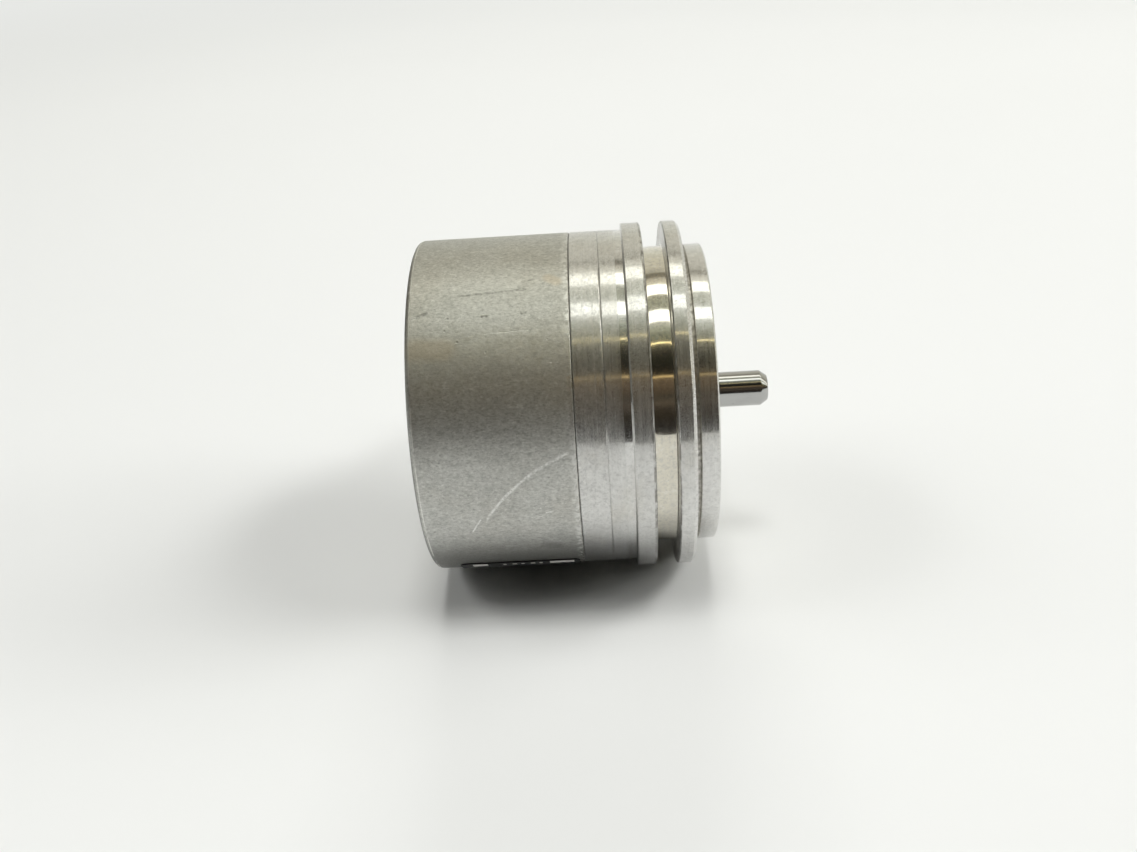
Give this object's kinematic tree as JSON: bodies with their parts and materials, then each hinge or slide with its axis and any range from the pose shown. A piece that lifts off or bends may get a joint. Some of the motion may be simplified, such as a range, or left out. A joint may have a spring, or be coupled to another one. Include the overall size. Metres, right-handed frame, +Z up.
{
  "type": "rotary encoder",
  "caption": "Round aluminium shaft encoder with a grooved servo flange, centring pilot, short plain shaft and a round connector on its side.",
  "frame": {"origin": "on the shaft's axis, in the plane of the mounting shoulder at the front of the flange", "axes": "+X along the shaft, pointing out of the flange; +Y towards the electrical outlet; +Z up"},
  "size_m": [0.0572, 0.071, 0.058],
  "materials": {
    "cast_aluminium": "tumbled die casting, matt grey",
    "turned_aluminium": "fine turned, bright",
    "ground_steel": "ground and polished stainless",
    "bearing_steel": "ground bearing steel",
    "cage_steel": "pressed steel, slightly warm",
    "spring_steel": "oiled dark spring steel",
    "zinc_steel": "zinc plated",
    "nickel_brass": "nickel plated brass",
    "black_rubber": "nitrile rubber",
    "disc_glass": "clear glass",
    "board_green": "green solder resist on glass laminate",
    "black_plastic": "moulded, satin",
    "label_black": "printed foil, blank",
    "ribbon_grey": "flat cable"
  },
  "bodies": {
    "housing": {"bearing_circlip": "spring_steel", "bearing_housing": "turned_aluminium", "board_header": "black_plastic", "board_standoff_1": "nickel_brass", "board_standoff_2": "nickel_brass", "board_standoff_3": "nickel_brass", "collimating_lens": "disc_glass", "cover_oring": "black_rubber", "cover_screw_1": "zinc_steel", "cover_screw_2": "zinc_steel", "cover_screw_3": "zinc_steel", "cover_standoff_1": "nickel_brass", "cover_standoff_2": "nickel_brass", "cover_standoff_3": "nickel_brass", "encoder_board": "board_green", "flange_screw_1": "zinc_steel", "flange_screw_2": "zinc_steel", "flange_screw_3": "zinc_steel", "front_bearing_outer_ring": "bearing_steel", "housing_cover": "cast_aluminium", "led_emitter": "disc_glass", "light_source_holder": "black_plastic", "outlet_gasket": "black_rubber", "outlet_insert": "black_plastic", "outlet_ribbon_cable": "ribbon_grey", "outlet_shell": "nickel_brass", "preload_wave_washer": "spring_steel", "processor_chip": "black_plastic", "rear_bearing_outer_ring": "bearing_steel", "scanning_reticle": "disc_glass", "sensor_chip": "black_plastic", "servo_flange": "turned_aluminium", "shaft_seal": "black_rubber", "type_label": "label_black"},
    "rotor": {"encoder_shaft": "ground_steel", "front_bearing_inner_ring": "bearing_steel", "rear_bearing_inner_ring": "bearing_steel", "bearing_spacer": "turned_aluminium", "shaft_circlip": "spring_steel", "disc_hub": "nickel_brass", "hub_set_screw": "spring_steel", "code_disc": "disc_glass", "disc_clamp_nut": "nickel_brass"},
    "front_ball_set": {"front_bearing_cage": "cage_steel", "front_ball_1": "bearing_steel", "front_ball_2": "bearing_steel", "front_ball_3": "bearing_steel", "front_ball_4": "bearing_steel", "front_ball_5": "bearing_steel", "front_ball_6": "bearing_steel", "front_ball_7": "bearing_steel"},
    "rear_ball_set": {"rear_bearing_cage": "cage_steel", "rear_ball_1": "bearing_steel", "rear_ball_2": "bearing_steel", "rear_ball_3": "bearing_steel", "rear_ball_4": "bearing_steel", "rear_ball_5": "bearing_steel", "rear_ball_6": "bearing_steel", "rear_ball_7": "bearing_steel"}
  },
  "joints": [
    {"name": "shaft_spin", "type": "hinge", "parent": "housing", "child": "rotor", "pos_m": [0, 0, 0], "axis": [1, 0, 0], "continuous": true},
    {"name": "front_cage_spin", "type": "hinge", "parent": "housing", "child": "front_ball_set", "pos_m": [-0.0037, 0, 0], "axis": [1, 0, 0], "continuous": true},
    {"name": "rear_cage_spin", "type": "hinge", "parent": "housing", "child": "rear_ball_set", "pos_m": [-0.018, 0, 0], "axis": [1, 0, 0], "continuous": true}
  ],
  "couplings": [
    {"joint": "front_cage_spin", "follows": "shaft_spin", "ratio": 0.3889},
    {"joint": "rear_cage_spin", "follows": "shaft_spin", "ratio": 0.3889}
  ]
}
